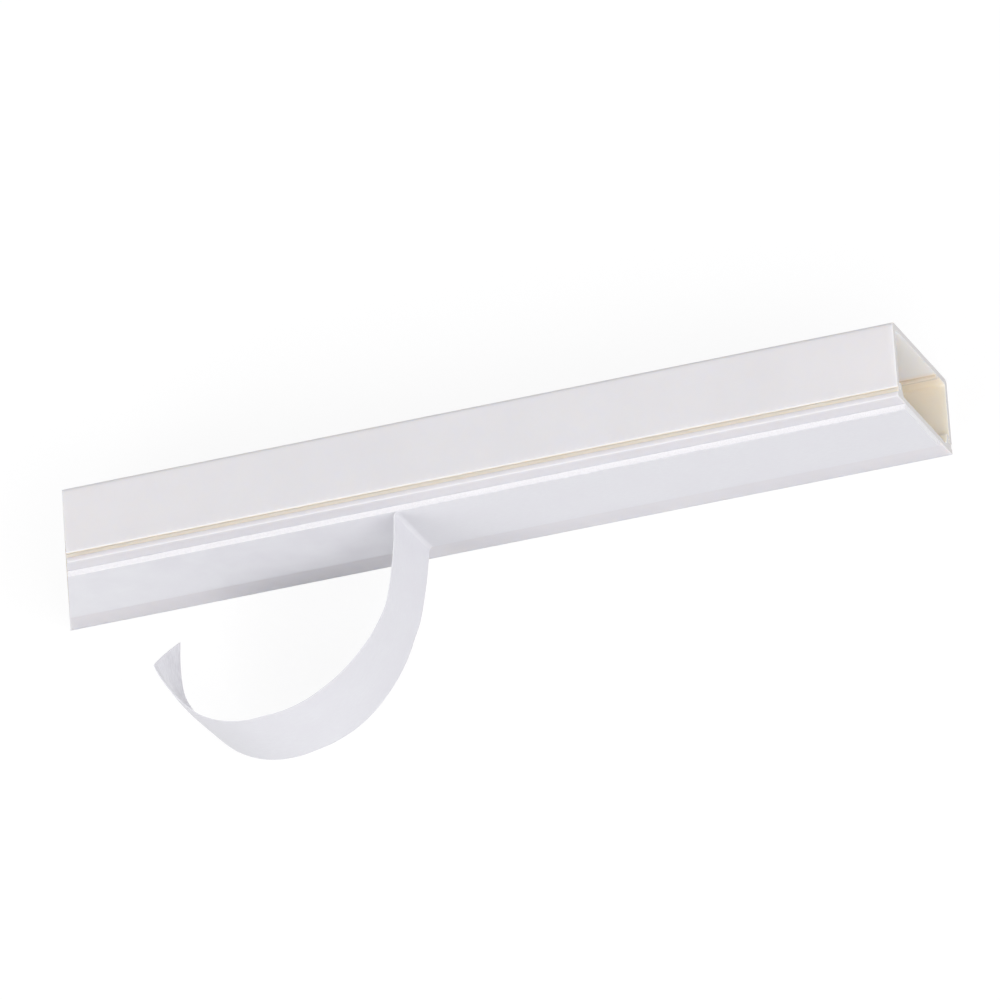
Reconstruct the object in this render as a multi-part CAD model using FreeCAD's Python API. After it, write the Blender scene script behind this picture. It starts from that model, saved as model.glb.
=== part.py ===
import FreeCAD, Part
import math
import os

# Cord cover raceway: a short cut piece of stick-on cable duct, made of a flat base and a clip-on cover,
# with foam tape on the base's back and a release liner that is half peeled off and curls away.
# X runs along the duct, Y from the tape side to the cover's top, Z up across the duct's width.
# The duct lies on one of its narrow sides. The origin is in that side, at mid length and mid height.

# Overall sizes, in millimetres. The length is that of the side that the duct lies on.
duct_length = 208.4
duct_width = 38.0
duct_height = 18.0
# The left end is sawn on the skew: the upper side is shorter than the lower side by this much
end_skew = 13.3

# Cover
cover_wall = 1.5
cover_corner = 1.2
cover_inner_corner = 0.6
cover_foot_round = 0.3
seam_gap = 1.0
seam_depth = 0.5
bead_depth = 0.5
bead_height = 1.1
bead_lead = 0.3
rib_height = 0.8
rib_width = 0.8
rib_from_lower_side = 6.7

# Base
base_thick = 1.3
base_edge_round = 0.3
leg_height = 2.8
leg_top_width = 0.9
leg_top_round = 0.3
leg_root_width = 1.6
leg_root_fillet = 1.2
leg_lead = 0.4
snap_clearance = 0.15
seat_clearance = 0.1

# Foam tape and its liner
tape_width = 23.0
foam_thick = 1.3
tape_from_side = 10.2
liner_thick = 0.2

# Where the liner leaves the tape, measured from the lower side's left end
peel_from_end = 88.7
fold_radius = 1.2
fold_turn = 85.8
peeled_length = 107.6
# Stretches of the peeled liner from the fold to its free end: share of that length, and turn in degrees
curl = [
    (0.144, -9.7),
    (0.251, -42.3),
    (0.181, -34.3),
    (0.154, -45.0),
    (0.105, -14.2),
    (0.076, -28.4),
    (0.089, -9.4),
]
# The free end is cut on the skew: its upper edge is shorter than its lower edge by this much
skew_cut = 14.4

left_end = -duct_length / 2
back_face = -duct_height / 2
tape_face = back_face - foam_thick
liner_middle = tape_face - liner_thick / 2
leg_in = cover_wall + bead_depth + snap_clearance


def toward(point, other, distance):
    """The point that lies the given distance from point on the way to other."""
    step = (other - point).normalize()
    return point + step * distance


def rounded_face(corners):
    """A flat face from corners (height above the back, place across the width, rounding radius)."""
    points = [FreeCAD.Vector(left_end, back_face + high, across) for high, across, _ in corners]
    edges = []
    starts = []
    ends = []
    middles = []
    for i, (high, across, radius) in enumerate(corners):
        before, here, after = points[i - 1], points[i], points[(i + 1) % len(points)]
        if radius == 0:
            starts.append(here)
            ends.append(here)
            middles.append(None)
            continue
        half = (before - here).getAngle(after - here) / 2
        run = radius / math.tan(half)
        start, end = toward(here, before, run), toward(here, after, run)
        centre_way = ((start + end) * 0.5 - here).normalize()
        starts.append(start)
        ends.append(end)
        middles.append(here + centre_way * (radius / math.sin(half) - radius))
    for i in range(len(points)):
        if middles[i] is not None:
            edges.append(Part.Arc(starts[i], middles[i], ends[i]).toShape())
        following = starts[(i + 1) % len(points)]
        if (following - ends[i]).Length > 1e-6:
            edges.append(Part.LineSegment(ends[i], following).toShape())
    return Part.Face(Part.Wire(edges))


def both_sides(half, between=()):
    """Corners of the lower side, any corners between, then the lower side's mirrored for the upper side."""
    other = [(high, duct_width - across, radius) for high, across, radius in reversed(half)]
    return half + list(between) + other


def end_wedge():
    """Wedge that saws the left end off on the skew, square to the duct's back."""
    below = FreeCAD.Vector(left_end - end_skew, 2 * tape_face, -duct_width)
    rise = FreeCAD.Vector(0, 0, 3 * duct_width)
    corners = [below, below + rise + FreeCAD.Vector(3 * end_skew, 0, 0), below + rise]
    wedge = Part.Face(Part.makePolygon(corners + [corners[0]]))
    return wedge.extrude(FreeCAD.Vector(0, 2 * duct_height - 2 * tape_face, 0))


def extruded(corners):
    """The outline drawn out along the duct's length, with its left end sawn off on the skew."""
    return rounded_face(corners).extrude(FreeCAD.Vector(duct_length, 0, 0)).cut(end_wedge())


def make_cover():
    """Channel with rounded outer corners, a snap bead inside each foot and a low rib under its top."""
    foot = base_thick + seam_gap
    inner_top = duct_height - cover_wall
    bead = cover_wall + bead_depth
    outer = [
        (foot, 0, cover_foot_round),
        (duct_height, 0, cover_corner),
    ]
    inner = [
        (foot, cover_wall + bead_lead / 2, 0),
        (foot + bead_lead, bead, 0),
        (foot + bead_height - bead_depth, bead, 0),
        (foot + bead_height, cover_wall, 0),
        (inner_top, cover_wall, cover_inner_corner),
    ]
    rib_end = rib_from_lower_side + rib_width
    rib = [
        (inner_top, rib_from_lower_side, 0),
        (inner_top - rib_height, rib_from_lower_side, 0),
        (inner_top - rib_height, rib_end, 0),
        (inner_top, rib_end, 0),
    ]
    inside = both_sides(inner, rib)
    return extruded(both_sides(outer) + inside[::-1])


def make_base():
    """Flat strip with a shoulder under each foot of the cover and two low legs that carry the snap barbs."""
    foot = base_thick + seam_gap
    shoulder = foot - seat_clearance
    leg_top = base_thick + leg_height
    barb = cover_wall + snap_clearance
    barb_low = foot + bead_height + snap_clearance * math.sqrt(2) - snap_clearance
    half = [
        (0, 0, base_edge_round),
        (base_thick, 0, base_edge_round),
        (base_thick, seam_depth, 0),
        (shoulder, seam_depth, 0),
        (shoulder, leg_in, 0),
        (barb_low - bead_depth, leg_in, 0),
        (barb_low, barb, 0),
        (leg_top - leg_lead, barb, 0),
        (leg_top, leg_in, 0),
        (leg_top, leg_in + leg_top_width, leg_top_round),
        (base_thick, leg_in + leg_root_width, leg_root_fillet),
    ]
    return extruded(both_sides(half))


def make_foam_tape():
    """The double-sided foam strip on the base's back, cut off level with the duct's ends."""
    corner = FreeCAD.Vector(left_end, tape_face, tape_from_side)
    return Part.makeBox(duct_length, foam_thick, tape_width, corner).cut(end_wedge())


def liner_stretches():
    """The liner's middle line from the right end to the free end, as (start, heading, length, turn)."""
    start = FreeCAD.Vector(duct_length / 2, liner_middle, tape_from_side)
    flat = duct_length - peel_from_end - fold_radius
    fold = fold_radius * math.radians(fold_turn)
    heading = 180.0
    stretches = []
    peeled = [(share * peeled_length, turn) for share, turn in curl]
    for length, turn in [(flat, 0.0), (fold, fold_turn)] + peeled:
        stretches.append((start, heading, length, turn))
        start = point_along(start, heading, length, turn, 1.0)
        heading += turn
    return stretches


def point_along(start, heading, length, turn, share):
    """A point on a straight or circular stretch, at the given share of its length."""
    part = length * share
    half = math.radians(turn) * share / 2
    chord = part if half == 0 else part * math.sin(half) / half
    way = math.radians(heading) + half
    return start + FreeCAD.Vector(math.cos(way), math.sin(way), 0) * chord


def beside(point, heading, offset):
    """The point moved sideways from the middle line, to the left of the heading when offset is positive."""
    way = math.radians(heading + 90)
    return point + FreeCAD.Vector(math.cos(way), math.sin(way), 0) * offset


def liner_side(offset):
    """One face line of the liner: straight runs and tangent arcs beside the middle line."""
    edges = []
    for start, heading, length, turn in liner_stretches():
        places = []
        for share in (0.0, 0.5, 1.0):
            point = point_along(start, heading, length, turn, share)
            places.append(beside(point, heading + turn * share, offset))
        if turn == 0:
            edges.append(Part.LineSegment(places[0], places[2]).toShape())
        else:
            edges.append(Part.Arc(places[0], places[1], places[2]).toShape())
    return edges


def make_release_liner():
    """Thin strip that lies on the tape, folds up at the peel line and curls round to its free end."""
    one, other = liner_side(liner_thick / 2), liner_side(-liner_thick / 2)
    end_pairs = [(one[0].Vertexes[0], other[0].Vertexes[0]), (one[-1].Vertexes[-1], other[-1].Vertexes[-1])]
    caps = [Part.LineSegment(a.Point, b.Point).toShape() for a, b in end_pairs]
    outline = Part.Wire(Part.__sortEdges__(one + other + caps))
    strip = Part.Face(outline).extrude(FreeCAD.Vector(0, 0, tape_width))
    return strip.cut(skew_cutter())


def skew_cutter():
    """Wedge that takes the upper corner off the liner's free end, with some room round the liner."""
    start, heading, length, turn = liner_stretches()[-1]
    tip = point_along(start, heading, length, turn, 1.0)
    room = skew_cut / 2
    low = FreeCAD.Vector(tip.x - room, tip.y, tape_from_side)
    corners = [
        low,
        low + FreeCAD.Vector(0, -skew_cut, tape_width),
        low + FreeCAD.Vector(0, room, tape_width),
        low + FreeCAD.Vector(0, room, 0),
    ]
    wedge = Part.Face(Part.makePolygon(corners + [corners[0]]))
    return wedge.extrude(FreeCAD.Vector(2 * room, 0, 0))


nodes = {
    "cover": make_cover(),
    "base": make_base(),
    "foam_tape": make_foam_tape(),
    "release_liner": make_release_liner(),
}

os.makedirs("parts", exist_ok=True)
for name, shape in nodes.items():
    solid = shape.Solids[0]
    print(name, "solids", len(shape.Solids), "valid", solid.isValid(), "volume", round(solid.Volume, 1))
    solid.exportStep(f"parts/{name}.step")
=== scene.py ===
import math

import bpy
import numpy as np
from mathutils import Matrix, Vector


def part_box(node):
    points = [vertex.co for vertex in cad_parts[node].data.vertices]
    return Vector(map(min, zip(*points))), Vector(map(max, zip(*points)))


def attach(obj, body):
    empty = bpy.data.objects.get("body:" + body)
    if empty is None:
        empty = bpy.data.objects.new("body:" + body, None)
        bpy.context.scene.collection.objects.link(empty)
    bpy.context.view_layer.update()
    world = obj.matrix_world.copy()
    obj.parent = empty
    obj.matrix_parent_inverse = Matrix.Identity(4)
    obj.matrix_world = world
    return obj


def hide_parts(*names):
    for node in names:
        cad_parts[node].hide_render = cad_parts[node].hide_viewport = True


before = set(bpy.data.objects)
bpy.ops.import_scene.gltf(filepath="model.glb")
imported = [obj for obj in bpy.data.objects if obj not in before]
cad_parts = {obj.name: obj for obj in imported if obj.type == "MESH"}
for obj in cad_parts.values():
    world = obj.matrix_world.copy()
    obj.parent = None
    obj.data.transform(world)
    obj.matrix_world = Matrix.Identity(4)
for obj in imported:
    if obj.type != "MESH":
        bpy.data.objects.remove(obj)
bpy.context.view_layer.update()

# Cord cover raceway of off-white uPVC, lying on its narrow side, with its release liner peeled halfway.
# Sizes in the dictionaries are in millimetres, except the studio's. Meshes are in metres, in the same frame
# as the solids: X along the duct, Y from the tape side to the cover's top, Z up across the duct's width.

mm = 0.001
coverLow, coverHigh = (np.array(corner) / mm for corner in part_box("cover"))
baseLow, baseHigh = (np.array(corner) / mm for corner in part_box("base"))
tapeLow, tapeHigh = (np.array(corner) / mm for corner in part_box("foam_tape"))
linerLow, linerHigh = (np.array(corner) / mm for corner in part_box("release_liner"))

duct = {
    "endSkew": 13.3,             # at the left, the upper side ends this much short of the lower side
    "length": coverHigh[0] - coverLow[0],
    "width": coverHigh[2] - coverLow[2],
    "height": coverHigh[1] - baseLow[1],
    "footHeight": coverLow[1] - baseLow[1],
    "crispAngle": 40,            # edges that turn by more degrees than this stay crisp
}


# Helpers for nodes and objects

def linear(hexColour):
    # sRGB to linear: up to 0.04045 divide by 12.92, above it raise (c + 0.055) / 1.055 to the power 2.4
    srgb = np.array([int(hexColour[i:i + 2], 16) for i in (1, 3, 5)]) / 255
    rgb = np.where(srgb <= 0.04045, srgb / 12.92, ((srgb + 0.055) / 1.055) ** 2.4)
    return (*rgb.tolist(), 1.0)


def feed(tree, node, inputs):
    # Inputs that come from another node are linked, and the others are set
    for name, value in inputs.items():
        if isinstance(value, bpy.types.NodeSocket):
            tree.links.new(value, node.inputs[name])
        else:
            node.inputs[name].default_value = value


def addNode(tree, kind, inputs=None, **settings):
    made = tree.nodes.new(kind)
    for name, value in settings.items():
        setattr(made, name, value)
    feed(tree, made, inputs or {})
    return made


def emptyTree(owner):
    owner.use_nodes = True
    owner.node_tree.nodes.clear()
    return owner.node_tree


def addObject(name, data):
    made = bpy.data.objects.new(name, data)
    bpy.context.scene.collection.objects.link(made)
    return made


# Helpers for shapes

def unit(vectors):
    return vectors / np.linalg.norm(vectors, axis=-1, keepdims=True)


def smooth(low, high, values):
    # Cubic step: 0 below low, 1 above high, 3 t^2 - 2 t^3 between
    t = np.clip((values - low) / (high - low), 0, 1)
    return t * t * (3 - 2 * t)


def wave(along, across, longest, seed, sines=6, shortening=0.7):
    # Sum of sines with seeded directions and phases, each shorter and weaker than the last, from -1 to 1
    rng = np.random.default_rng(seed)
    total = np.zeros(np.broadcast(along, across).shape)
    strengths = 1 / np.arange(1, sines + 1)
    for step, strength in enumerate(strengths):
        turn, phase = rng.uniform(-0.5, 0.5), rng.uniform(0, 2 * np.pi)
        length = longest / (1 + shortening * step)
        total = total + strength * np.sin(2 * np.pi * (along + across * turn) / length + phase)
    return total / strengths.sum()


def roundedOutline(corners, steps, spacing):
    # A closed outline from corners (height, across, radius). Each corner becomes an arc whose centre lies on
    # the corner's bisector, at radius / sin(half the corner's angle). The arc's directions are the
    # great-circle blend of the two radii that meet the sides. Long straight runs then get extra points at the
    # given spacing.
    corners = np.array(corners, float)
    points, radii = corners[:, :2], corners[:, 2:]
    before = unit(np.roll(points, 1, 0) - points)
    after = unit(np.roll(points, -1, 0) - points)
    bisector = unit(before + after)
    sinHalf = np.abs(before[:, :1] * bisector[:, 1:] - before[:, 1:] * bisector[:, :1])
    tanHalf = sinHalf / (before * bisector).sum(1, keepdims=True)
    centres = points + bisector * radii / sinHalf
    first = unit(points + before * radii / tanHalf - centres)
    last = unit(points + after * radii / tanHalf - centres)
    turn = np.arccos(np.clip((first * last).sum(1), -1, 1))[:, None, None]
    share = np.linspace(0, 1, steps + 1)[None, :, None]
    ways = np.sin((1 - share) * turn) * first[:, None] + np.sin(share * turn) * last[:, None]
    arcs = (centres[:, None] + radii[:, None] * ways / np.sin(turn)).reshape(-1, 2)
    loop = np.vstack([arcs, arcs[:1]])
    run = np.concatenate([[0], np.cumsum(np.linalg.norm(np.diff(loop, axis=0), axis=1))])
    extra = np.arange(spacing / 2, run[-1], spacing)
    clear = np.abs(extra[:, None] - run[None]).min(1) > spacing / 4
    places = np.union1d(run[:-1], extra[clear])
    outline = np.column_stack([np.interp(places, run, loop[:, 0]), np.interp(places, run, loop[:, 1])])
    following = np.roll(outline, -1, 0)
    area = (outline[:, 0] * following[:, 1] - outline[:, 1] * following[:, 0]).sum()
    return outline if area > 0 else outline[::-1]


def outwardOf(outline):
    # The outline's outward normals: the chord between a point's neighbours, turned a quarter turn clockwise
    chord = unit(np.roll(outline, -1, 0) - np.roll(outline, 1, 0))
    return np.column_stack([chord[:, 1], -chord[:, 0]])


def ringMesh(name, rings, capMaterial):
    # Rings of points (station, place round the ring, xyz in millimetres) become a closed skin: four-sided
    # faces between neighbours on both ways, and one many-sided face that closes each end.
    stations, around = rings.shape[:2]
    index = np.arange(stations * around).reshape(stations, around)
    here, ahead = index[:-1], index[1:]
    quads = np.stack([here, np.roll(here, -1, 1), np.roll(ahead, -1, 1), ahead], axis=-1).reshape(-1, 4)
    faces = quads.tolist() + [index[0, ::-1].tolist(), index[-1].tolist()]
    mesh = bpy.data.meshes.new(name)
    mesh.from_pydata((rings.reshape(-1, 3) * mm).tolist(), [], faces)
    mesh.polygons.foreach_set("use_smooth", np.ones(len(faces), bool))
    mesh.update()
    mesh.set_sharp_from_angle(angle=math.radians(duct["crispAngle"]))
    slots = np.zeros(len(faces), np.int32)
    slots[-2:] = capMaterial
    mesh.polygons.foreach_set("material_index", slots)
    return addObject(name, mesh)


def addAttribute(piece, name, values):
    attribute = piece.data.attributes.new(name, "FLOAT", "POINT")
    attribute.data.foreach_set("value", np.ascontiguousarray(values, np.float32).ravel())


def stationShares(spacing, bevel):
    # Shares of the length, with one more station a bevel's width in from each end
    inner = np.linspace(bevel, duct["length"] - bevel, max(2, round(duct["length"] / spacing)))
    return np.concatenate([[0], inner, [duct["length"]]])[:, None] / duct["length"]


def drawnOut(outline, offset, shares, low):
    # The outline is drawn out along X from the skewed left end to the square right end: x is (1 - share)
    # times the left end's place at that height, plus share times the right end's. Points move out along their
    # normals by offset.
    section = outline[None] + offset[..., None] * outwardOf(outline)[None]
    z = low[1] + section[..., 1]
    left = coverLow[0] + duct["endSkew"] * z / duct["width"]
    return np.stack([(1 - shares) * left + shares * coverHigh[0], low[0] + section[..., 0], z], axis=-1)


def extrudedRings(outline, look):
    # Drawn out with a slow inward wave, as a thin extrusion has, and set in by the bevel at both sawn ends
    shares = stationShares(look["stationSpacing"], look["endBevel"])
    around = np.linspace(0, 2 * np.pi, len(outline), endpoint=False)[None]
    longest = look["rippleLength"]
    ripple = wave(shares * duct["length"], longest / 2 * np.sin(around), longest, look["seed"])
    offset = look["ripple"] * (ripple - 1) / 2
    offset[[0, -1]] = -look["endBevel"]
    return drawnOut(outline, offset, shares, (baseLow[1], coverLow[2]))


def bothSides(half, between=()):
    # The corners of the lower side, any corners between, then the lower side's mirrored for the upper side
    mirrored = [(high, duct["width"] - across, radius) for high, across, radius in reversed(half)]
    return half + list(between) + mirrored


def placesOf(rings):
    # Height above the duct's back, place across its width, and distance in from the nearer side
    high, across = rings[..., 1] - baseLow[1], rings[..., 2]
    return high, across, np.minimum(across, duct["width"] - across)


# Camera: a long lens at the photo's viewing angle, rolled as the photo is
cameraView = {
    "azimuth": 36.448,
    "elevation": 61.659,
    "roll": -44.351,
    "distance": 4778.6,
    "aim": (-0.681, 0.952, 1.977),
    "lens": 773.47,
    "sensor": 36.0,
}


def makeCamera(view):
    # Back points from the aim to the camera: (sin azimuth cos elevation, -cos azimuth cos elevation, sin
    # elevation). The roll turns right towards up.
    azimuth, elevation, roll = (math.radians(view[key]) for key in ("azimuth", "elevation", "roll"))
    level = math.cos(elevation)
    back = Vector((math.sin(azimuth) * level, -math.cos(azimuth) * level, math.sin(elevation)))
    plainRight = Vector((math.cos(azimuth), math.sin(azimuth), 0))
    right = plainRight * math.cos(roll) + back.cross(plainRight) * math.sin(roll)
    data = bpy.data.cameras.new("camera")
    data.sensor_width = view["sensor"]
    data.lens = view["lens"]
    camera = addObject("camera", data)
    turned = Matrix((right, back.cross(right), back)).transposed().to_4x4()
    place = Vector(view["aim"]) * mm + back * view["distance"] * mm
    camera.matrix_world = Matrix.Translation(place) @ turned
    bpy.context.scene.camera = camera


makeCamera(cameraView)
print("camera: done")

# Floor, backdrop and light. Sizes and places here are in metres.
studio = {
    "floorSize": 12.0,
    "floorDrop": 0.00002,        # keeps the floor out of the plane of the side that the duct lies on
    "floorColour": "#cfcfd0",    # sets how much light the floor throws back on the part
    "floorGlow": 0.86,           # with the shade, what the eye sees of the floor
    "floorShade": 0.16,
    "skyColour": "#fdfdff",
    "skyStrength": 0.56,
    "lamps": {
        "leftSoftbox": {"from": (-0.55, -0.65, 0.55), "size": 0.6, "watts": 3.0},
        "frontSoftbox": {"from": (0.85, -1.15, 1.30), "size": 1.2, "watts": 11.5},
        "endSoftbox": {"from": (1.40, -0.50, 0.90), "size": 0.8, "watts": 9.0},
    },
}
white = (1, 1, 1, 1)


def seenByEye(tree):
    # 1 for rays straight from the camera and for what glossy or clear surfaces show, 0 for plain light
    path = addNode(tree, "ShaderNodeLightPath")
    seen = addNode(tree, "ShaderNodeMath", operation="MAXIMUM",
                   inputs={0: path.outputs["Is Camera Ray"], 1: path.outputs["Is Glossy Ray"]})
    return addNode(tree, "ShaderNodeMath", operation="MAXIMUM",
                   inputs={0: seen.outputs[0], 1: path.outputs["Is Transmission Ray"]}).outputs[0]


def makeWorld(look):
    # The sky lights the part softly from all sides, and the eye sees plain white in its place
    world = bpy.data.worlds.new("studio")
    bpy.context.scene.world = world
    tree = emptyTree(world)
    sky = addNode(tree, "ShaderNodeBackground",
                  {"Color": linear(look["skyColour"]), "Strength": look["skyStrength"]})
    plain = addNode(tree, "ShaderNodeBackground", {"Color": white, "Strength": 1.0})
    mixed = addNode(tree, "ShaderNodeMixShader",
                    {0: seenByEye(tree), 1: sky.outputs[0], 2: plain.outputs[0]})
    addNode(tree, "ShaderNodeOutputWorld", {"Surface": mixed.outputs[0]})


def makeFloor(look):
    half = look["floorSize"] / 2
    corners = [(-half, -half, 0), (half, -half, 0), (half, half, 0), (-half, half, 0)]
    mesh = bpy.data.meshes.new("floor")
    mesh.from_pydata(corners, [], [(0, 1, 2, 3)])
    floor = addObject("floor", mesh)
    floor.location.z = -look["floorDrop"]
    # White painted board: plain to light, and to the eye a white glow with enough of its own shade for the
    # part's shadow
    paint = bpy.data.materials.new("paintedBoardWhite")
    tree = emptyTree(paint)
    plain = addNode(tree, "ShaderNodeBsdfDiffuse", {"Color": linear(look["floorColour"])})
    glow = addNode(tree, "ShaderNodeEmission", {"Color": white, "Strength": look["floorGlow"]})
    shade = addNode(tree, "ShaderNodeBsdfDiffuse", {"Color": (look["floorShade"],) * 3 + (1,)})
    shown = addNode(tree, "ShaderNodeAddShader", {0: glow.outputs[0], 1: shade.outputs[0]})
    mixed = addNode(tree, "ShaderNodeMixShader",
                    {0: seenByEye(tree), 1: plain.outputs[0], 2: shown.outputs[0]})
    addNode(tree, "ShaderNodeOutputMaterial", {"Surface": mixed.outputs[0]})
    mesh.materials.append(paint)


def makeLamps(look):
    # White square softboxes that point at the middle of the duct
    for name, lamp in look["lamps"].items():
        data = bpy.data.lights.new(name, "AREA")
        data.size = lamp["size"]
        data.energy = lamp["watts"]
        light = addObject(name, data)
        light.location = lamp["from"]
        light.rotation_euler = (-Vector(lamp["from"])).to_track_quat("-Z", "Y").to_euler()


makeWorld(studio)
makeFloor(studio)
makeLamps(studio)
print("studio: done")

# Materials
pvcLook = {
    "name": "extrudedUpvcCover",
    "outside": "#e4e2e4",        # off-white resin with a little titanium white
    "outsideCloud": "#e1dfe1",
    "inside": ("#f5f5f9", "#f6eadb", "#e0d6ca"),     # painted light under the top, painted cream bounce light on the walls, painted tan shade on the rib
    "cloudSize": 22.0,
    "dieLineSpacing": 0.55,      # the die's fine lines run along the duct
    "dieLineLength": 160.0,
    "dieLineHeight": 0.012,
    "grainSize": 0.35,
    "grainHeight": 0.004,
    "roughness": (0.38, 0.52),
    "ior": 1.53,
    "lightReach": 2.0,           # how far light travels in the resin, longest for red
    "lightTint": (1.0, 0.9, 0.75),
    "lightShare": 1.0,
}
# The base is a shade greyer than the cover: painted shade for its back and margins, which take less
# light than the cover's side
basePvcShadedLook = pvcLook | {
    "name": "extrudedUpvcBaseShaded",
    "outside": "#dad8dc",
    "outsideCloud": "#d7d5d9",
}
paintedBounceTone = 0.5                # picks the middle one of the three painted tones: cream painted bounce light
sawnLook = {
    # A shade darker than the resin: painted shade on the sawn ends
    "colour": "#d0cdcc",
    "dust": "#dad8d7",
    "toothSpacing": 0.45,
    "toothStretch": (1, 1, 12),  # the saw's marks run up across the width
    "toothHeight": 0.03,
    "roughness": 0.72,
    "ior": 1.53,
}
foamLook = {
    "colour": "#ecebed",
    "cellPaintedShade": "#e2e0e2",
    "cellSize": 0.28,
    "cellRange": (0.1, 0.6),     # distances from a cell's centre, in cells, over which its pit rises
    "cellHeight": 0.03,
    "roughness": 0.85,
}
adhesiveLook = {
    "colour": "#dfdfe3",
    "patch": "#dcdbe0",
    "patchSize": 7.0,
    "pullSpacing": 0.6,
    "pullStretch": (1, 1, 6),    # the ridges run across the strip
    "pullHeight": 0.02,
    "roughness": (0.3, 0.5),
    "ior": 1.47,
}
linerLook = {
    "colour": "#dddde1",
    "paintedLightSide": "#f2f2f6",   # painted light on the side that lay on the tape, which faces into the shaded curl
    "fibre": "#dad9de",
    "fibreSize": 0.5,
    "fibreStretch": (3, 3, 1),
    "fibreHeight": 0.008,
    "cloudSize": 9.0,
    "mottleRange": (0.12, 0.38),
    "roughness": (0.42, 0.55),
    "ior": 1.45,
    "lightReach": 0.4,           # light passes through thin paper
    "lightTint": (1.0, 1.0, 1.0),
    "lightShare": 0.3,
}


def startMaterial(name):
    material = bpy.data.materials.new(name)
    tree = emptyTree(material)
    shader = addNode(tree, "ShaderNodeBsdfPrincipled")
    addNode(tree, "ShaderNodeOutputMaterial", {"Surface": shader.outputs[0]})
    place = addNode(tree, "ShaderNodeTexCoord").outputs["Object"]
    return material, tree, shader, place


def fromPiece(tree, name):
    # A value that the piece's own mesh carries at every point
    return addNode(tree, "ShaderNodeAttribute", attribute_name=name).outputs["Fac"]


def addNoise(tree, place, size, detail=3.0, stretch=(1, 1, 1)):
    # Noise whose blobs are about size millimetres wide, drawn out by stretch along each axis
    scale = tuple(1 / (size * mm * amount) for amount in stretch)
    mapped = addNode(tree, "ShaderNodeMapping", {"Vector": place, "Scale": scale})
    return addNode(tree, "ShaderNodeTexNoise",
                   {"Vector": mapped.outputs[0], "Scale": 1.0, "Detail": detail}).outputs["Fac"]


def addRange(tree, value, low, high, fromLow=0.3, fromHigh=0.7):
    # Spreads a value over low to high. Noise lies mostly between 0.3 and 0.7.
    limits = {"From Min": fromLow, "From Max": fromHigh, "To Min": low, "To Max": high}
    return addNode(tree, "ShaderNodeMapRange", {"Value": value} | limits).outputs[0]


def addBump(tree, height, distance, under=None):
    inputs = {"Height": height, "Distance": distance * mm, "Strength": 1.0}
    if under is not None:
        inputs["Normal"] = under
    return addNode(tree, "ShaderNodeBump", inputs).outputs[0]


def mixColours(tree, share, one, other):
    # Inputs 6 and 7 and output 2 are the mix node's colours
    return addNode(tree, "ShaderNodeMix", {"Factor": share, 6: one, 7: other}, data_type="RGBA").outputs[2]


def addRamp(tree, value, colours):
    # A colour ramp with its colours at even steps from 0 to 1
    ramp = addNode(tree, "ShaderNodeValToRGB", {"Fac": value})
    stops = ramp.color_ramp.elements
    for place in range(1, len(colours) - 1):
        stops.new(place / (len(colours) - 1))
    for stop, colour in zip(stops, colours):
        stop.color = linear(colour)
    return ramp.outputs["Color"]


def lightIn(look):
    # Part of the light goes in and comes out elsewhere, also through a thin wall
    return {
        "Subsurface Weight": look["lightShare"],
        "Subsurface Radius": look["lightTint"],
        "Subsurface Scale": look["lightReach"] * mm,
    }


def makePvc(look):
    # Extruded uPVC: a satin, slightly warm white. Its die lines run along the duct and catch the light as
    # faint streaks. Inside the channel and in the seams its colour gives way to painted light and shade.
    material, tree, shader, place = startMaterial(look["name"])
    cloud = addRange(tree, addNoise(tree, place, look["cloudSize"]), 0, 1)
    outside = mixColours(tree, cloud, linear(look["outside"]), linear(look["outsideCloud"]))
    # Painted light and shade inside the channel, picked by the painted tone
    inside = addRamp(tree, fromPiece(tree, "paintedLightTone"), look["inside"])
    stretch = (look["dieLineLength"] / look["dieLineSpacing"], 1, 1)
    lines = addNoise(tree, place, look["dieLineSpacing"], 2.0, stretch)
    grain = addNoise(tree, place, look["grainSize"], 2.0)
    feed(tree, shader, lightIn(look) | {
        # The mask swaps the resin's colour for the painted light and shade
        "Base Color": mixColours(tree, fromPiece(tree, "paintedLightMask"), outside, inside),
        "Normal": addBump(tree, grain, look["grainHeight"], addBump(tree, lines, look["dieLineHeight"])),
        "Roughness": addRange(tree, lines, *look["roughness"]),
        "IOR": look["ior"],
    })
    return material


def makeSawnPvc(look):
    # Sawn uPVC: matte, because the saw's fine scratches scatter the light, with a little pale dust in them.
    # Its colour is a shade darker than the resin's: painted shade on the sawn ends.
    material, tree, shader, place = startMaterial("sawnUpvc")
    marks = addNoise(tree, place, look["toothSpacing"], 3.0, look["toothStretch"])
    feed(tree, shader, {
        "Base Color": mixColours(tree, marks, linear(look["colour"]), linear(look["dust"])),
        "Normal": addBump(tree, marks, look["toothHeight"]),
        "Roughness": look["roughness"],
        "IOR": look["ior"],
    })
    return material


def makeFoam(look):
    # Closed-cell polyethylene foam: dull white, with the cut cells as tiny pits along its sides, which carry
    # painted shade
    material, tree, shader, place = startMaterial("closedCellFoam")
    scale = (1 / (look["cellSize"] * mm),) * 3
    scaled = addNode(tree, "ShaderNodeMapping", {"Vector": place, "Scale": scale}).outputs[0]
    cells = addNode(tree, "ShaderNodeTexVoronoi", {"Vector": scaled, "Scale": 1.0}).outputs["Distance"]
    depth = addRange(tree, cells, 0, 1, *look["cellRange"])
    feed(tree, shader, {
        "Base Color": mixColours(tree, depth, linear(look["cellPaintedShade"]), linear(look["colour"])),
        "Normal": addBump(tree, depth, look["cellHeight"]),
        "Roughness": look["roughness"],
    })
    return material


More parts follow.
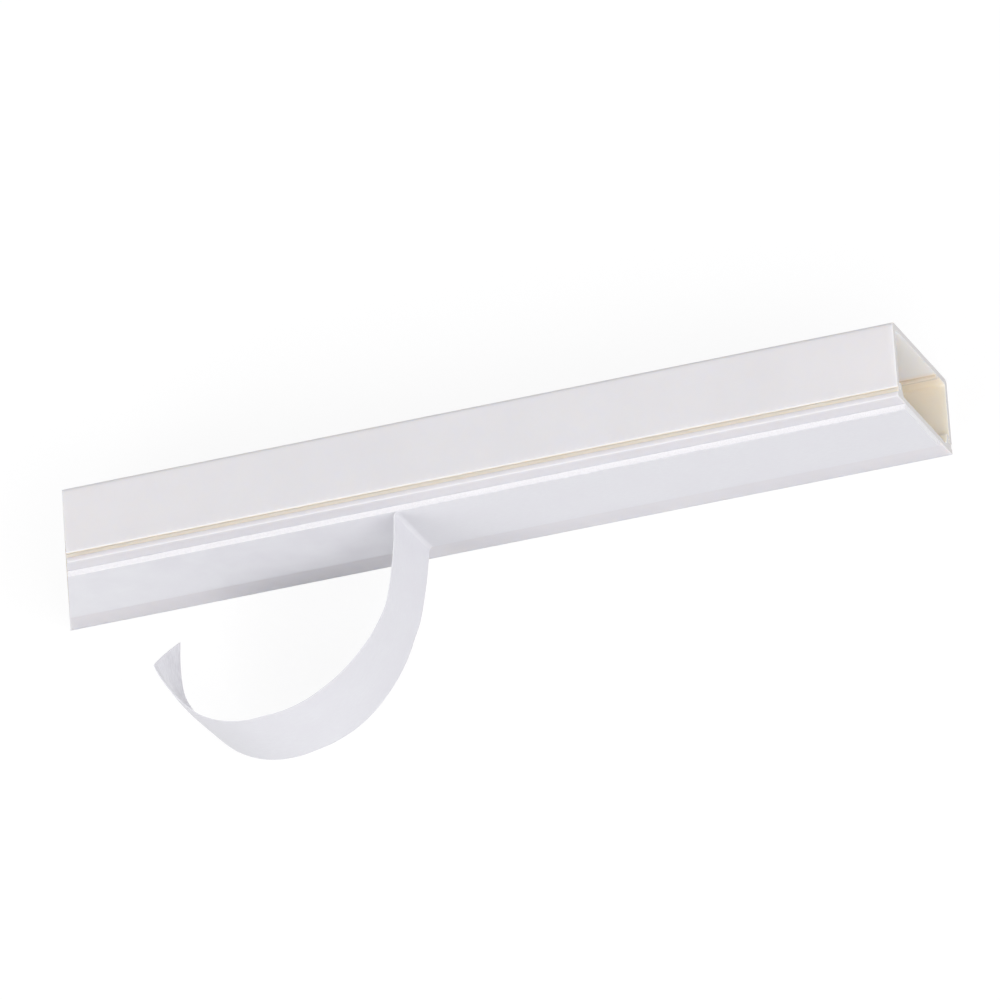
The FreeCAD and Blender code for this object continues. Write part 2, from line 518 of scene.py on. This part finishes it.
def makeAdhesive(look):
    # Acrylic adhesive film on the foam: a little glossier and greyer, with faint ridges left by the peeling
    material, tree, shader, place = startMaterial("acrylicAdhesive")
    patch = addRange(tree, addNoise(tree, place, look["patchSize"], 4.0), 0, 1)
    pulls = addNoise(tree, place, look["pullSpacing"], 3.0, look["pullStretch"])
    feed(tree, shader, {
        "Base Color": mixColours(tree, patch, linear(look["colour"]), linear(look["patch"])),
        "Normal": addBump(tree, pulls, look["pullHeight"]),
        "Roughness": addRange(tree, patch, *look["roughness"], 0, 1),
        "IOR": look["ior"],
    })
    return material


def makeLinerPaper(look):
    # Silicone-coated release paper: smooth cool white, faintly mottled by its fibres, a little see-through,
    # and with painted light on the coated side, which faces into the shaded curl
    material, tree, shader, place = startMaterial("coatedReleasePaper")
    cloud = addNoise(tree, place, look["cloudSize"], 5.0)
    fibre = addNoise(tree, place, look["fibreSize"], 4.0, look["fibreStretch"])
    both = addNode(tree, "ShaderNodeMath", {0: cloud, 1: fibre}, operation="MULTIPLY").outputs[0]
    mottle = addRange(tree, both, 0, 1, *look["mottleRange"])
    # Painted light on the coated side
    coated = fromPiece(tree, "paintedLightSide")
    sheet = mixColours(tree, coated, linear(look["colour"]), linear(look["paintedLightSide"]))
    feed(tree, shader, lightIn(look) | {
        "Base Color": mixColours(tree, mottle, linear(look["fibre"]), sheet),
        "Normal": addBump(tree, fibre, look["fibreHeight"]),
        "Roughness": addRange(tree, cloud, *look["roughness"]),
        "IOR": look["ior"],
    })
    return material


coverPvc = makePvc(pvcLook)
basePvcShaded = makePvc(basePvcShadedLook)
sawnPvc = makeSawnPvc(sawnLook)
foam = makeFoam(foamLook)
adhesive = makeAdhesive(adhesiveLook)
linerPaper = makeLinerPaper(linerLook)
print("materials: done")

# Cover: a channel whose feet carry a clip bead, with one low rib under its top
cover = {
    "wall": 1.5,
    "outerCorner": 1.2,
    "innerCorner": 0.6,
    "footRound": 0.3,
    "beadDepth": 0.5,
    "beadHeight": 1.1,
    "beadLead": 0.3,
    "ribHeight": 0.8,
    "ribWidth": 0.8,
    "ribFromLowerSide": 6.7,
    "softEdge": 0.12,            # the least radius that the die leaves on a sharp edge
    "arcSteps": 6,
    "pointSpacing": 1.6,
    "stationSpacing": 2.5,
    "endBevel": 0.08,
    "ripple": 0.05,
    "rippleLength": 70.0,
    "seed": 3,
    # Where the painted light and shade inside start and are full
    "paintedLightDepth": (0.25, 1.2),     # in from the outside
    "paleBelowTop": (2.0, 0.5),      # down from the inner top
    "paleBesideRib": (-1.0, 2.0),    # up from the rib
    "ribShadeEdge": 0.4,
}


def makeCover(look):
    foot = duct["footHeight"]
    inside = duct["height"] - look["wall"]
    bead = look["wall"] + look["beadDepth"]
    soft = look["softEdge"]
    ribTop = inside - look["ribHeight"]
    ribStart = look["ribFromLowerSide"]
    ribEnd = ribStart + look["ribWidth"]
    outer = [(foot, 0, look["footRound"]), (duct["height"], 0, look["outerCorner"])]
    inner = [
        (foot, look["wall"] + look["beadLead"] / 2, soft),
        (foot + look["beadLead"], bead, soft),
        (foot + look["beadHeight"] - look["beadDepth"], bead, soft),
        (foot + look["beadHeight"], look["wall"], soft),
        (inside, look["wall"], look["innerCorner"]),
    ]
    rib = [(inside, ribStart, soft), (ribTop, ribStart, soft), (ribTop, ribEnd, soft), (inside, ribEnd, soft)]
    corners = bothSides(outer) + bothSides(inner, rib)[::-1]
    outline = roundedOutline(corners, look["arcSteps"], look["pointSpacing"])
    rings = extrudedRings(outline, look)
    piece = ringMesh("cover_skin", rings, 1)
    # The painted-light mask is 0 on the outside and 1 well inside the channel, and also 1 under the feet,
    # where
    # they close the seams: painted shade there. The painted tone is half, painted cream bounce light, on the
    # walls, fades to 0, painted light, under the top and is full, painted tan shade, on the rib.
    high, across, inward = placesOf(rings)
    depth = np.minimum(inward, duct["height"] - high)
    underFoot = smooth(foot + look["footRound"], foot, high) * smooth(0, look["footRound"], inward)
    addAttribute(piece, "paintedLightMask", np.maximum(smooth(*look["paintedLightDepth"], depth), underFoot))
    paleStart, paleFull = look["paleBelowTop"]
    besideStart, besideFull = look["paleBesideRib"]
    pale = smooth(inside - paleStart, inside - paleFull, high)
    pale = pale * smooth(ribEnd + besideStart, ribEnd + besideFull, across)
    edge = look["ribShadeEdge"]
    # Painted tan shade on the rib
    onRib = smooth(ribStart - edge, ribStart, across) * (1 - smooth(ribEnd, ribEnd + edge, across))
    onRib = onRib * (high > duct["height"] / 2)
    addAttribute(piece, "paintedLightTone", paintedBounceTone * (1 - pale) * (1 - onRib) + onRib)
    return piece


# Base: a flat strip with a shoulder under each foot of the cover, and two low legs whose barbs hold the
# cover's beads
base = {
    "thickness": 1.3,
    "edgeRound": 0.3,
    "seamDepth": 0.5,
    "seatClearance": 0.03,
    "legTopWidth": 0.9,
    "legTopRound": 0.3,
    "legRootWidth": 1.6,
    "legRootFillet": 1.2,
    "legLead": 0.4,
    "clearance": 0.15,
    "softEdge": 0.12,
    "arcSteps": 6,
    "pointSpacing": 1.6,
    "stationSpacing": 2.5,
    "endBevel": 0.08,
    "ripple": 0.03,
    "rippleLength": 90.0,
    "seed": 8,
    # Where the painted shade inside starts, in from the side and up from the back
    "paintedLightInset": 0.2,
    "paintedLightHeight": 0.78,
}


def makeBase(look):
    legTop = baseHigh[1] - baseLow[1]
    foot = duct["footHeight"]
    shoulder = foot - look["seatClearance"]
    legIn = cover["wall"] + cover["beadDepth"] + look["clearance"]
    barb = cover["wall"] + look["clearance"]
    barbLow = foot + cover["beadHeight"] + look["clearance"] * (math.sqrt(2) - 1)
    soft = look["softEdge"]
    half = [
        (0, 0, look["edgeRound"]),
        (look["thickness"], 0, look["edgeRound"]),
        (look["thickness"], look["seamDepth"], soft),
        (shoulder, look["seamDepth"], soft),
        (shoulder, legIn, soft),
        (barbLow - cover["beadDepth"], legIn, soft),
        (barbLow, barb, soft),
        (legTop - look["legLead"], barb, soft),
        (legTop, legIn, soft),
        (legTop, legIn + look["legTopWidth"], look["legTopRound"]),
        (look["thickness"], legIn + look["legRootWidth"], look["legRootFillet"]),
    ]
    outline = roundedOutline(bothSides(half), look["arcSteps"], look["pointSpacing"])
    rings = extrudedRings(outline, look)
    piece = ringMesh("base_skin", rings, 1)
    # The painted-light mask is 1 on the seams' floors and on the side that looks into the channel, where it
    # carries painted shade and cream painted bounce light
    high, across, inward = placesOf(rings)
    raised = smooth(look["paintedLightHeight"], look["thickness"], high)
    addAttribute(piece, "paintedLightMask", smooth(look["paintedLightInset"], look["seamDepth"], inward) * raised)
    addAttribute(piece, "paintedLightTone", np.full(high.shape, paintedBounceTone))
    return piece


# Foam tape: a strip with cut, slightly uneven sides and a tacky face
tape = {
    "softEdge": 0.12,
    "footRound": 0.04,
    "footSink": 0.04,            # the foam presses into the base's slow waves by this much
    "arcSteps": 3,
    "pointSpacing": 0.45,
    "stationSpacing": 0.6,
    "endBevel": 0.03,
    "sideRoughness": 0.08,
    "filmFacing": 0.9,           # faces turned at least this much away from the base carry the film
    "seed": 21,
}


def makeTape(look):
    deep = tapeHigh[1] - tapeLow[1] + look["footSink"]
    broad = tapeHigh[2] - tapeLow[2]
    soft, foot = look["softEdge"], look["footRound"]
    corners = [(0, 0, soft), (deep, 0, foot), (deep, broad, foot), (0, broad, soft)]
    outline = roundedOutline(corners, look["arcSteps"], look["pointSpacing"])
    shares = stationShares(look["stationSpacing"], look["endBevel"])
    # The sides are set in at random, by the mean of each point and three of its neighbours
    rng = np.random.default_rng(look["seed"])
    rough = rng.uniform(0, 1, (len(shares), len(outline)))
    rough = (rough + np.roll(rough, 1, 0) + np.roll(rough, 1, 1) + np.roll(rough, -1, 0)) / 4
    offset = -look["sideRoughness"] * rough * np.abs(outwardOf(outline)[:, 1])[None]
    offset[[0, -1]] = -look["endBevel"]
    rings = drawnOut(outline, offset, shares, (tapeLow[1], tapeLow[2]))
    piece = ringMesh("foam_tape_strip", rings, 0)
    facing = np.zeros(len(piece.data.polygons) * 3)
    piece.data.polygons.foreach_get("normal", facing)
    sticky = (facing.reshape(-1, 3)[:, 1] < -look["filmFacing"]).astype(np.int32)
    piece.data.polygons.foreach_set("material_index", sticky)
    return piece


# Release liner: still on the tape on the right, folded up at the peel line and curled round to its free end
liner = {
    "peelFromEnd": 88.7,
    "foldRadius": 1.2,
    "foldTurn": 85.8,
    "peeledLength": 107.6,
    # Stretches from the fold to the free end: share of the peeled length, and turn in degrees
    "curl": [(0.144, -9.7), (0.251, -42.3), (0.181, -34.3), (0.154, -45.0),
             (0.105, -14.2), (0.076, -28.4), (0.089, -9.4)],
    "skewCut": 14.4,
    "softening": 5.0,            # length over which one stretch's curve turns into the next
    "thickness": 0.2,
    # How far the strip stands out of the curl, at even shares from the fold to the free end, and how much
    # further its upper edge does than its middle
    "standOut": (0.0, -0.1, -0.3, -0.75, -0.4, -0.3),
    "twist": (0.0, 0.7, -0.3, -0.6, 0.0, -0.45),
    "belly": 0.4,                # the middle bulges out by this much near the free end
    "bellyAt": 0.82,
    "bellyReach": 0.14,
    "edgeWave": 0.12,
    "edgeWaveFrom": 0.2,         # share of the peeled part over which the wave sets in
    "edgeWaveLength": 27.0,
    "edgeWaveSkew": 8.0,         # sets the wave at a slant across the strip
    "lineSteps": 8000,
    "alongSteps": 620,
    "acrossSteps": 24,
    "foldDensity": 14.0,         # so many times more stations at the fold, fading over the fold's spread
    "foldSpread": 2.5,
    "seed": 5,
}


def linerLine(look):
    # The middle line's heading is straight, turns through the fold, then follows the stretches' turns. Its
    # place is the running sum of (cos heading, sin heading). On the peeled part, a running mean over the
    # softening length rounds the changes of curvature.
    shares, turns = np.array(look["curl"]).T
    flat = coverHigh[0] - (coverLow[0] + look["peelFromEnd"]) - look["foldRadius"]
    fold = look["foldRadius"] * math.radians(look["foldTurn"])
    marks = np.cumsum([0, flat, fold, *(shares * look["peeledLength"])])
    headings = 180 + np.cumsum([0, 0, look["foldTurn"], *turns])
    run = np.linspace(0, marks[-1], look["lineSteps"] + 1)
    step = run[1]
    heading = np.interp(run, marks, headings)
    reach = round(look["softening"] / step / 2)
    before = 2 * heading[0] - heading[reach:0:-1]
    after = 2 * heading[-1] - heading[-2:-reach - 2:-1]
    window = np.full(2 * reach + 1, 1 / (2 * reach + 1))
    softened = np.convolve(np.concatenate([before, heading, after]), window, "valid")
    free = smooth(marks[2], marks[2] + look["softening"], run)
    heading = np.radians(heading + (softened - heading) * free)
    middle = (heading[1:] + heading[:-1]) / 2
    x = coverHigh[0] + np.concatenate([[0], np.cumsum(np.cos(middle) * step)])
    y = tapeLow[1] - look["thickness"] / 2 + np.concatenate([[0], np.cumsum(np.sin(middle) * step)])
    return run, x, y, heading, marks[1], marks[2]


def makeLiner(look):
    run, lineX, lineY, heading, foldStart, foldEnd = linerLine(look)
    # Stations are closer together at the fold. The skewed free end shortens the strip towards its upper edge,
    # by the square of the share of the peeled part.
    fromFold = (run - (foldStart + foldEnd) / 2) / look["foldSpread"]
    density = 1 + look["foldDensity"] * np.exp(-fromFold ** 2)
    total = np.concatenate([[0], np.cumsum((density[1:] + density[:-1]) / 2)])
    along = np.interp(np.linspace(0, total[-1], look["alongSteps"]), total, run)[:, None]
    across = np.linspace(0, 1, look["acrossSteps"])[None]
    peeled = np.clip((along - foldEnd) / (run[-1] - foldEnd), 0, 1)
    skewed = along - look["skewCut"] * across * peeled ** 2
    x, y, way = (np.interp(skewed, run, values) for values in (lineX, lineY, heading))

    # The lift out of the curl is the stand-out, plus the side from -1 to 1 times the twist and a small wave,
    # plus the belly, which is highest in the middle and fades along the strip as a bell curve
    side = 2 * across - 1
    knots = np.linspace(0, 1, len(look["twist"]))
    slant = look["edgeWaveSkew"] * side
    waviness = look["edgeWave"] * smooth(0, look["edgeWaveFrom"], peeled)
    waviness = waviness * wave(skewed, slant, look["edgeWaveLength"], look["seed"])
    lift = np.interp(peeled, knots, look["standOut"])
    lift = lift + side * (np.interp(peeled, knots, look["twist"]) + waviness)
    fromBelly = (peeled - look["bellyAt"]) / look["bellyReach"]
    lift = lift + look["belly"] * (1 - side ** 2) * np.exp(-fromBelly ** 2)
    broad = linerHigh[2] - linerLow[2]
    z = np.broadcast_to(linerLow[2] + across * broad, x.shape)
    outer, inner = (np.stack([x - np.sin(way) * out, y + np.cos(way) * out, z], axis=-1)
                    for out in (lift + look["thickness"] / 2, lift - look["thickness"] / 2))
    piece = ringMesh("release_liner_strip", np.concatenate([outer, inner[:, ::-1]], axis=1), 0)
    # The coated side carries the painted light
    addAttribute(piece, "paintedLightSide", np.concatenate([np.zeros_like(z), np.ones_like(z)], axis=1))
    return piece


def finishPiece(piece, node, materials):
    for material in materials:
        piece.data.materials.append(material)
    weighted = piece.modifiers.new("weightedNormal", "WEIGHTED_NORMAL")
    weighted.keep_sharp = True
    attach(piece, "root")
    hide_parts(node)
    print(piece.name, "faces", len(piece.data.polygons))


finishPiece(makeCover(cover), "cover", [coverPvc, sawnPvc])
finishPiece(makeBase(base), "base", [basePvcShaded, sawnPvc])
finishPiece(makeTape(tape), "foam_tape", [foam, adhesive])
finishPiece(makeLiner(liner), "release_liner", [linerPaper])
print("pieces: done")

scene = bpy.context.scene
scene.view_settings.view_transform = "Standard"
